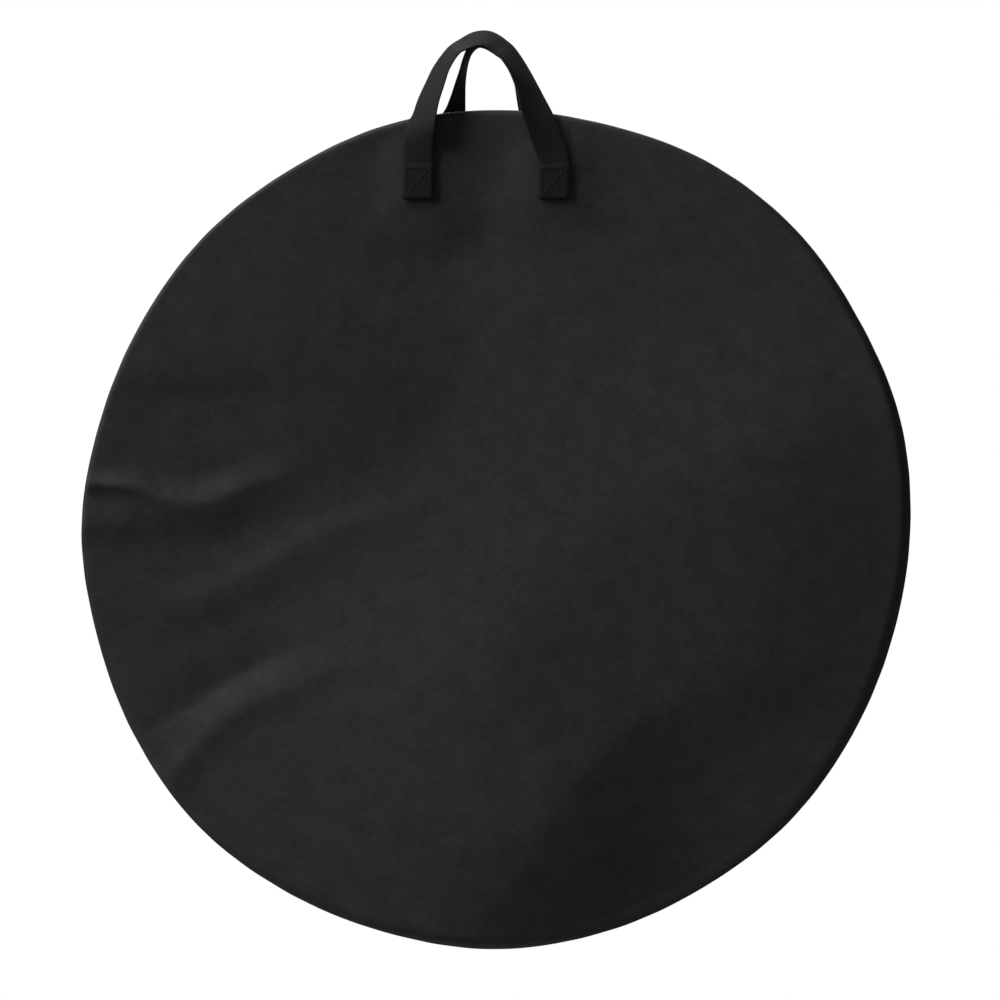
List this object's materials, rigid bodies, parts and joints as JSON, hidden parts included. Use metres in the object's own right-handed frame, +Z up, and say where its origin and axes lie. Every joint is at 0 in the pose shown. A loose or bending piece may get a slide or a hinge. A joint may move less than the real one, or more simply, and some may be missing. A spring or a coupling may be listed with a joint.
{
  "type": "bike wheel bag",
  "caption": "Round padded soft bag for one bicycle wheel, with a zip round its upper half and a pair of webbing handles.",
  "frame": {"origin": "middle of the flat back panel's outer face", "axes": "+Z up as it hangs from its handles, +Y straight out of the flat back, so the front panel faces -Y and +X is to the right seen from the front"},
  "size_m": [0.704, 0.0856, 0.7736],
  "materials": {
    "shell_fabric": "matt black woven polyester",
    "padding_foam": "closed-cell foam sheet, hidden",
    "lining": "smooth dark lining cloth",
    "webbing": "black woven webbing",
    "binding": "black ribbed binding tape",
    "zip_tape": "black woven zip tape",
    "zip_coil": "black nylon coil",
    "slider_metal": "black enamelled metal",
    "thread": "black sewing thread"
  },
  "bodies": {
    "shell": {"rear_outer_panel": "shell_fabric", "rear_foam_panel": "padding_foam", "rear_lining_panel": "lining", "front_outer_lower": "shell_fabric", "front_foam_lower": "padding_foam", "front_lining_lower": "lining", "lower_gusset": "shell_fabric", "lower_gusset_lining": "lining", "rear_seam_binding": "binding", "front_seam_binding_lower": "binding", "rear_zip_band": "shell_fabric", "rear_zip_tape": "zip_tape", "rear_zip_coil": "zip_coil", "left_zip_end_tab": "shell_fabric", "right_zip_end_tab": "shell_fabric", "rear_handle_left_end": "webbing", "rear_handle_right_end": "webbing", "rear_left_stitching": "thread", "rear_right_stitching": "thread"},
    "front_flap": {"front_outer_upper": "shell_fabric", "front_foam_upper": "padding_foam", "front_lining_upper": "lining", "front_seam_binding_upper": "binding", "front_zip_band": "shell_fabric", "front_zip_tape": "zip_tape", "front_zip_coil": "zip_coil", "front_handle_left_end": "webbing", "front_handle_right_end": "webbing", "front_left_stitching": "thread", "front_right_stitching": "thread"},
    "front_handle": {"front_handle_loop": "webbing"},
    "rear_handle": {"rear_handle_loop": "webbing"},
    "left_zip_slider": {"left_slider": "slider_metal"},
    "right_zip_slider": {"right_slider": "slider_metal"},
    "left_zip_pull": {"left_pull": "slider_metal"},
    "right_zip_pull": {"right_pull": "slider_metal"}
  },
  "joints": [
    {"name": "front_flap_fold", "type": "hinge", "parent": "shell", "child": "front_flap", "pos_m": [0, -0.068, 0], "axis": [1, 0, 0], "range_deg": [0, 150]},
    {"name": "front_handle_swing", "type": "hinge", "parent": "front_flap", "child": "front_handle", "pos_m": [-0.0095, -0.06706, 0.30615], "axis": [1, 0, 0], "range_deg": [0, 165]},
    {"name": "rear_handle_swing", "type": "hinge", "parent": "shell", "child": "rear_handle", "pos_m": [-0.0095, 0.00006, 0.30615], "axis": [-1, 0, 0], "range_deg": [0, 165]},
    {"name": "left_slider_travel", "type": "hinge", "parent": "shell", "child": "left_zip_slider", "pos_m": [0, -0.0335, 0], "axis": [0, -1, 0], "range_deg": [0, 84]},
    {"name": "right_slider_travel", "type": "hinge", "parent": "shell", "child": "right_zip_slider", "pos_m": [0, -0.0335, 0], "axis": [0, 1, 0], "range_deg": [0, 84]},
    {"name": "left_pull_swing", "type": "hinge", "parent": "left_zip_slider", "child": "left_zip_pull", "pos_m": [-0.00742, -0.0335, 0.34832], "axis": [0, 1, 0], "range_deg": [0, 100]},
    {"name": "right_pull_swing", "type": "hinge", "parent": "right_zip_slider", "child": "right_zip_pull", "pos_m": [0.00742, -0.0335, 0.34832], "axis": [0, -1, 0], "range_deg": [0, 100]}
  ]
}
